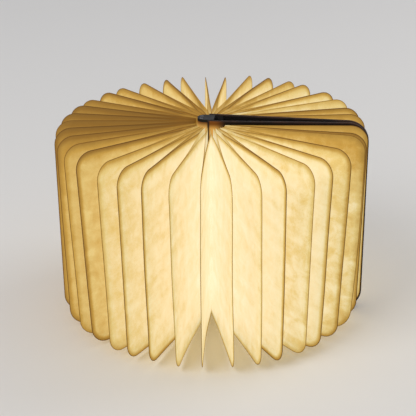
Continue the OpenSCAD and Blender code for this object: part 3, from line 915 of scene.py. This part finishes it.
# %% [markdown]
# ## The covers
# A cover is a board with leather wrapped round it. The leather is turned in over the board's
# edge by a few millimetres, and the glued sheet of paper lies between the turned edges, a little
# deeper. The hinge side is round, because the leather runs over it to the bar.
# A plane with two bevelled corners is extruded to the cover's thickness, every rim is rounded
# with a bevel, and the place of the sheet is inset into the inner face. This is done flat, and
# then turned into the cover's place beside the hinge.

# %% Function: place on a cover
HINGE_Y = 0.0105          # from the middle line to the middle of a cover at its hinge
COVER_LEAN = math.radians(2.9103)       # the covers lean in until they meet at the fore-edge


def cover_place(side):
    """Matrix from a cover's own axes (X to the fore-edge, Y to its inner face) to its place."""
    place = Matrix.Translation((0, HINGE_Y, 0)) @ Matrix.Rotation(-COVER_LEAN, 4, "Z")
    return place if side > 0 else Matrix.Scale(-1, 4, (0, 1, 0)) @ place


# %% Function: cover wrap
RIM_R = 0.0013            # rounding of the rim
TURNED_IN = 0.0027        # from the rounding to the place of the glued sheet
HINGE_SIDE = 0.0138       # the same distance is left from here to the sheet at the hinge side
SHEET_DEPTH = 0.0007      # how deep the sheet's place lies


def corners_of(made):
    """The vertices among what an operator has made."""
    return [g for g in made if isinstance(g, bmesh.types.BMVert)]


def cover_wrap():
    """The wrapped cover on its own axes, with its page map."""
    bm = bmesh.new()
    long = COVER_REACH + COVER_T / 2
    bmesh.ops.create_grid(bm, x_segments=1, y_segments=1, size=0.5)
    bmesh.ops.scale(bm, vec=(long, COVER_HIGH, 1), verts=bm.verts)
    bmesh.ops.rotate(bm, cent=(0, 0, 0), matrix=UPRIGHT, verts=bm.verts)
    middle = (COVER_REACH - long / 2, -COVER_T / 2, COVER_HIGH / 2)
    bmesh.ops.translate(bm, vec=middle, verts=bm.verts)
    corners = [v for v in bm.verts if v.co.x > COVER_REACH / 2]
    bmesh.ops.bevel(bm, geom=corners, offset=COVER_CORNER, offset_type="OFFSET", segments=14,
                    profile=0.5, affect="VERTICES", material=-1)
    made = bmesh.ops.extrude_face_region(bm, geom=bm.faces[:])["geom"]
    bmesh.ops.translate(bm, vec=(0, COVER_T, 0), verts=corners_of(made))
    bmesh.ops.recalc_face_normals(bm, faces=bm.faces)
    rim = [e for e in bm.edges if abs(e.verts[0].co.y - e.verts[1].co.y) < 1e-6]
    bmesh.ops.bevel(bm, geom=rim, offset=RIM_R, offset_type="OFFSET", segments=4,
                    profile=0.5, affect="EDGES", material=-1)
    inner = max(bm.faces, key=lambda f: f.calc_area() * (f.normal.y > 0.9))
    bmesh.ops.bisect_plane(bm, geom=[inner, *inner.edges, *inner.verts], dist=1e-6,
                           plane_co=(HINGE_SIDE, 0, 0), plane_no=(1, 0, 0))
    inner = max(bm.faces, key=lambda f: f.calc_area() * (f.normal.y > 0.9))
    bmesh.ops.inset_region(bm, faces=[inner], thickness=TURNED_IN, use_even_offset=True)
    bmesh.ops.inset_region(bm, faces=[inner], thickness=0.0001, depth=-SHEET_DEPTH,
                           use_even_offset=True)
    page = bm.loops.layers.uv.new("page")
    for face in bm.faces:
        for loop in face.loops:
            loop[page].uv = (loop.vert.co.x, loop.vert.co.z)
    return bm


# %% Both covers
for side, word in ((-1, "front"), (1, "back")):
    bm = cover_wrap()
    bmesh.ops.transform(bm, matrix=cover_place(side), verts=bm.verts)
    bmesh.ops.recalc_face_normals(bm, faces=bm.faces)
    wrap = new_object(f"{word}_cover_wrap", bm)
    wrap.data.materials.append(cover_leather)
    wrap.data.shade_smooth()
    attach(wrap, f"{word}_cover")
    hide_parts(f"{word}_cover_leather")
    print(wrap.name, [round(1000 * x, 1) for x in wrap.dimensions])

# %% [markdown]
# ## The leather hinges
# A strip of thin leather joins the bar's back plate to the outer face of each cover. It is glued
# down at both ends and bends between them. A few points give its path, the path is divided and
# smoothed, and it is extruded to the height of the strip and given its thickness.

# %% Hinge strips
STRIP_T = 0.0005          # thickness of the leather
STRIP_LOW, STRIP_TALL = 0.001, 0.213    # its lower edge, and how tall it is
for side, word in ((-1, "front"), (1, "back")):
    place = cover_place(side)
    # Two points on the back plate, and two on the outer face of the cover.
    path = [Vector((0.0047, side * 0.0035, 0)), Vector((0.0047, side * 0.0064, 0)),
            place @ Vector((0.0054, -0.0026, 0)), place @ Vector((0.0132, -0.0026, 0))]
    bm = bmesh.new()
    points = [bm.verts.new(p) for p in path]
    steps = [bm.edges.new(pair) for pair in zip(points, points[1:])]
    bmesh.ops.subdivide_edges(bm, edges=steps, cuts=5)
    loose = [v for v in bm.verts if len(v.link_edges) == 2]
    for _ in range(3):
        bmesh.ops.smooth_vert(bm, verts=loose, factor=0.5, use_axis_x=True, use_axis_y=True)
    bmesh.ops.translate(bm, vec=(0, 0, STRIP_LOW), verts=bm.verts)
    made = bmesh.ops.extrude_edge_only(bm, edges=bm.edges[:])["geom"]
    bmesh.ops.translate(bm, vec=(0, 0, STRIP_TALL), verts=corners_of(made))
    on_plate = min(bm.faces, key=lambda f: abs(f.calc_center_median().y))
    if on_plate.normal.x < 0:
        bmesh.ops.reverse_faces(bm, faces=bm.faces)
    bmesh.ops.solidify(bm, geom=bm.faces[:], thickness=STRIP_T)
    strip = new_object(f"{word}_hinge_leather", bm)
    strip.data.materials.append(hinge_leather)
    strip.data.shade_smooth()
    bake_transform(strip)
    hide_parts(f"{word}_hinge_strip")
    print(strip.name, len(strip.data.polygons), "faces")

# %% [markdown]
# ## The sheets in the covers
# The last layer of the pleated sheet is glued flat inside each cover. It is the same paper, but
# light only grazes it, so it takes the dim mix. Its solid already has the right shape and keeps
# it, and only its material changes. One helper gives a material to any number of solid parts.

# %% Function: dress the solid parts
def dress(material, *names):
    """Gives the material to the solid parts of those names."""
    for name in names:
        for place in nodes[name].material_slots:
            place.material = material
    print(material.name, "on", ", ".join(names))


dress(endsheet_paper, "front_endsheet", "back_endsheet")

# %% [markdown]
# ## The light bar
# The bar is moulded in black plastic with the fine haze of a spark-eroded mould. Inside the fan
# its sides catch the light of its own windows and the paper's, so the material adds that light
# on the side that faces the leaves: dark rust right below the end cap and amber further down.
# The caps and the back plate lie in the dark and take the same plastic without it.

# %% Bar plastic
def plastic_material(name, with_glow):
    """Black moulded plastic. with_glow adds the lamp's light on the side of the leaves."""
    material, tree, shader = new_material(name)
    place = add_node(tree, "ShaderNodeTexCoord")
    grain = place_group(tree, surface_grain, Pebble_Scale=2600.0, Patch_Scale=60.0, Pebbles=0.2)
    colour = add_node(tree, "ShaderNodeMix", data_type="RGBA")
    colour.inputs[6].default_value = (0.006, 0.0055, 0.0052, 1)
    colour.inputs[7].default_value = (0.012, 0.011, 0.0105, 1)
    gloss = add_node(tree, "ShaderNodeMapRange", in_1=0.0, in_2=1.0, in_3=0.46, in_4=0.62)
    bump = add_node(tree, "ShaderNodeBump", in_Strength=0.3, in_Distance=0.00006)
    wire(tree,
         (place.outputs["Object"], grain.inputs["Vector"]),
         (grain.outputs["Patches"], colour.inputs[0]),
         (grain.outputs["Patches"], gloss.inputs["Value"]),
         (colour.outputs[2], shader.inputs["Base Color"]),
         (gloss.outputs["Result"], shader.inputs["Roughness"]),
         (grain.outputs["Height"], bump.inputs["Height"]),
         (bump.outputs["Normal"], shader.inputs["Normal"]))
    if with_glow:
        parts = add_node(tree, "ShaderNodeSeparateXYZ")
        leafward = add_node(tree, "ShaderNodeMapRange", interpolation_type="SMOOTHSTEP",
                            in_1=-0.004, in_2=-0.001, in_3=1.0, in_4=0.0)
        below_cap = add_node(tree, "ShaderNodeMapRange", interpolation_type="SMOOTHSTEP",
                             in_1=DARK_TOP, in_2=0.2045)
        lit_colour = add_node(tree, "ShaderNodeMix", data_type="RGBA")
        lit_colour.inputs[6].default_value = (0.13, 0.038, 0.001, 1)
        lit_colour.inputs[7].default_value = (0.70, 0.38, 0.09, 1)
        lit = add_node(tree, "ShaderNodeMix", data_type="RGBA")
        lit.inputs[6].default_value = (0.0, 0.0, 0.0, 1)
        wire(tree, (place.outputs["Object"], parts.inputs["Vector"]),
             (parts.outputs["X"], leafward.inputs["Value"]),
             (parts.outputs["Z"], below_cap.inputs["Value"]),
             (below_cap.outputs["Result"], lit_colour.inputs[0]),
             (lit_colour.outputs[2], lit.inputs[7]),
             (leafward.outputs["Result"], lit.inputs[0]),
             (lit.outputs[2], shader.inputs["Emission Color"]))
        shader.inputs["Emission Strength"].default_value = 1.0
    shader.inputs["Specular IOR Level"].default_value = 0.2
    return material


bar_plastic = plastic_material("black_bar_plastic", with_glow=False)
bar_plastic_lit = plastic_material("black_bar_plastic_lit", with_glow=True)
dress(bar_plastic_lit, "spine_housing")
dress(bar_plastic, "spine_back_plate", "top_end_cap", "bottom_end_cap")

# %% [markdown]
# ## Lenses and lamps
# Two frosted lenses close the bar's light windows. A row of lamps behind each one shows as soft
# bright spots, so the lens's light rises and falls along its height with the same step. The lamp
# strips are white boards with yellow lamps on them: the lamps stand proud of the board, so a
# point's depth in the window's direction tells the two apart.

# %% Frosted lens
LAMP_STEP = 0.175 / 12    # twelve lamps on a strip 175 mm long
frosted_lens, tree, shader = new_material("frosted_lens")
place = add_node(tree, "ShaderNodeTexCoord")
parts = add_node(tree, "ShaderNodeSeparateXYZ")
waves = add_node(tree, "ShaderNodeMath", operation="MULTIPLY", in_1=2 * math.pi / LAMP_STEP)
wave = add_node(tree, "ShaderNodeMath", operation="SINE")
spots = add_node(tree, "ShaderNodeMapRange", interpolation_type="SMOOTHSTEP", in_1=-1.0, in_2=1.0)
lens_light = add_node(tree, "ShaderNodeMix", data_type="RGBA")
lens_light.inputs[6].default_value = (0.85, 0.60, 0.28, 1)
lens_light.inputs[7].default_value = (1.0, 0.90, 0.66, 1)
frost = add_node(tree, "ShaderNodeTexNoise", in_Scale=3000.0, in_Detail=3.0)
bump = add_node(tree, "ShaderNodeBump", in_Strength=0.4, in_Distance=0.00005)
wire(tree,
     (place.outputs["Object"], parts.inputs["Vector"]), (parts.outputs["Z"], waves.inputs[0]),
     (waves.outputs["Value"], wave.inputs[0]), (wave.outputs["Value"], spots.inputs["Value"]),
     (spots.outputs["Result"], lens_light.inputs[0]),
     (lens_light.outputs[2], shader.inputs["Emission Color"]),
     (place.outputs["Object"], frost.inputs["Vector"]),
     (frost.outputs["Fac"], bump.inputs["Height"]),
     (bump.outputs["Normal"], shader.inputs["Normal"]))
shader.inputs["Base Color"].default_value = (0.80, 0.77, 0.70, 1)
shader.inputs["Roughness"].default_value = 0.45
shader.inputs["Emission Strength"].default_value = 1.1
dress(frosted_lens, "light_lenses")

# %% Lamp strips
NOSE_AXIS = (-0.0057, 0, 0)             # middle of the bar's round nose
WINDOW_WAY = (0.643, 0.766, 0)          # the way a window looks out, folded to positive signs
LAMPS_FROM = 0.00500                    # deeper that way than the board's face, so on a lamp
lamp_board, tree, shader = new_material("white_lamp_board")
place = add_node(tree, "ShaderNodeTexCoord")
centred = add_node(tree, "ShaderNodeVectorMath", operation="SUBTRACT", in_1=NOSE_AXIS)
one_side = add_node(tree, "ShaderNodeVectorMath", operation="ABSOLUTE")
depth = add_node(tree, "ShaderNodeVectorMath", operation="DOT_PRODUCT", in_1=WINDOW_WAY)
proud = add_node(tree, "ShaderNodeMapRange", in_1=LAMPS_FROM, in_2=0.00506)
dust = place_group(tree, surface_grain, Pebble_Scale=1800.0, Patch_Scale=400.0, Pebbles=0.3)
board_white = add_node(tree, "ShaderNodeMix", data_type="RGBA")
board_white.inputs[6].default_value = (0.66, 0.66, 0.62, 1)
board_white.inputs[7].default_value = (0.78, 0.78, 0.75, 1)
two_tone = add_node(tree, "ShaderNodeMix", data_type="RGBA")
two_tone.inputs[7].default_value = (0.86, 0.55, 0.10, 1)
lamp_light = add_node(tree, "ShaderNodeMix", data_type="RGBA")
lamp_light.inputs[6].default_value = (0.0, 0.0, 0.0, 1)
lamp_light.inputs[7].default_value = (1.0, 0.82, 0.45, 1)
wire(tree,
     (place.outputs["Object"], centred.inputs[0]),
     (centred.outputs["Vector"], one_side.inputs[0]),
     (one_side.outputs["Vector"], depth.inputs[0]),
     (depth.outputs["Value"], proud.inputs["Value"]),
     (place.outputs["Object"], dust.inputs["Vector"]),
     (dust.outputs["Patches"], board_white.inputs[0]),
     (board_white.outputs[2], two_tone.inputs[6]), (proud.outputs["Result"], two_tone.inputs[0]),
     (proud.outputs["Result"], lamp_light.inputs[0]),
     (two_tone.outputs[2], shader.inputs["Base Color"]),
     (lamp_light.outputs[2], shader.inputs["Emission Color"]))
shader.inputs["Emission Strength"].default_value = 1.5
shader.inputs["Roughness"].default_value = 0.4
dress(lamp_board, "led_strips")

# %% [markdown]
# ## Metal, board and battery
# The small parts inside the bar and the covers are seen only when the lamp is taken apart. The
# magnets, screws and socket are plated metal, differing in tone and in the size of their grain.
# The covers' boards are grey pulp board with flecks. The control board has green solder mask
# and a bare copper edge at its top, and the battery is a foil pouch with amber tape there.

# %% Function: two colours in a grain
def grained_material(name, dark, light, pebble, patch, rough, strength, metal=0.0):
    """A material that moves between two colours, with a raised grain."""
    material, tree, shader = new_material(name)
    place = add_node(tree, "ShaderNodeTexCoord")
    grain = place_group(tree, surface_grain, Pebble_Scale=pebble, Patch_Scale=patch, Pebbles=0.4)
    colour = add_node(tree, "ShaderNodeMix", data_type="RGBA")
    colour.inputs[6].default_value = (*dark, 1)
    colour.inputs[7].default_value = (*light, 1)
    gloss = add_node(tree, "ShaderNodeMapRange", in_1=0.0, in_2=1.0, in_3=rough[0], in_4=rough[1])
    bump = add_node(tree, "ShaderNodeBump", in_Strength=strength, in_Distance=0.00008)
    wire(tree,
         (place.outputs["Object"], grain.inputs["Vector"]),
         (grain.outputs["Patches"], colour.inputs[0]),
         (grain.outputs["Patches"], gloss.inputs["Value"]),
         (colour.outputs[2], shader.inputs["Base Color"]),
         (gloss.outputs["Result"], shader.inputs["Roughness"]),
         (grain.outputs["Height"], bump.inputs["Height"]),
         (bump.outputs["Normal"], shader.inputs["Normal"]))
    shader.inputs["Metallic"].default_value = metal
    return material, tree, shader, colour


# %% Metals and cover boards
screw_steel = grained_material("blackened_screw_steel", (0.09, 0.09, 0.095), (0.16, 0.16, 0.165),
                               1500.0, 500.0, (0.28, 0.45), 0.15, metal=1.0)[0]
socket_steel = grained_material("plated_socket_steel", (0.52, 0.52, 0.53), (0.64, 0.64, 0.64),
                                1200.0, 300.0, (0.22, 0.38), 0.1, metal=1.0)[0]
magnet_nickel = grained_material("magnet_nickel", (0.60, 0.57, 0.52), (0.72, 0.69, 0.64),
                                 900.0, 200.0, (0.16, 0.30), 0.1, metal=1.0)[0]
grey_board = grained_material("pulp_cover_board", (0.24, 0.225, 0.20), (0.33, 0.31, 0.28),
                              700.0, 260.0, (0.85, 0.95), 0.6)[0]
dress(screw_steel, "end_cap_screws")
dress(socket_steel, "charging_socket")
dress(magnet_nickel, "front_cover_magnets", "back_cover_magnets")
dress(grey_board, "front_cover_board", "back_cover_board")


# %% Battery and control board
def banded(tree, colour_mix, shader, other, start_at, end_at):
    """Mixes another colour in above the height start_at, fully by end_at."""
    place = add_node(tree, "ShaderNodeTexCoord")
    parts = add_node(tree, "ShaderNodeSeparateXYZ")
    band = add_node(tree, "ShaderNodeMapRange", in_1=start_at, in_2=end_at)
    mix = add_node(tree, "ShaderNodeMix", data_type="RGBA")
    mix.inputs[7].default_value = (*other, 1)
    wire(tree, (place.outputs["Object"], parts.inputs["Vector"]),
         (parts.outputs["Z"], band.inputs["Value"]), (band.outputs["Result"], mix.inputs[0]),
         (colour_mix.outputs[2], mix.inputs[6]), (mix.outputs[2], shader.inputs["Base Color"]))


battery_wrap, tree, shader, colour = grained_material(
    "foil_battery_wrap", (0.36, 0.37, 0.38), (0.46, 0.47, 0.48), 600.0, 120.0, (0.25, 0.4), 0.35)
battery_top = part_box("battery")[1][2]
TAPE_FROM, TAPE_TO = 0.010, 0.0098      # below the top: foil, then amber tape
banded(tree, colour, shader, (0.55, 0.25, 0.03), battery_top - TAPE_FROM, battery_top - TAPE_TO)
circuit_board, tree, shader, colour = grained_material(
    "green_circuit_board", (0.010, 0.10, 0.035), (0.030, 0.22, 0.075), 1100.0, 420.0,
    (0.25, 0.4), 0.5)
board_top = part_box("control_board")[1][2]
EDGE_FROM, EDGE_TO = 0.003, 0.0029      # below the top: solder mask, then bare copper
banded(tree, colour, shader, (0.62, 0.42, 0.14), board_top - EDGE_FROM, board_top - EDGE_TO)
dress(battery_wrap, "battery")
dress(circuit_board, "control_board")
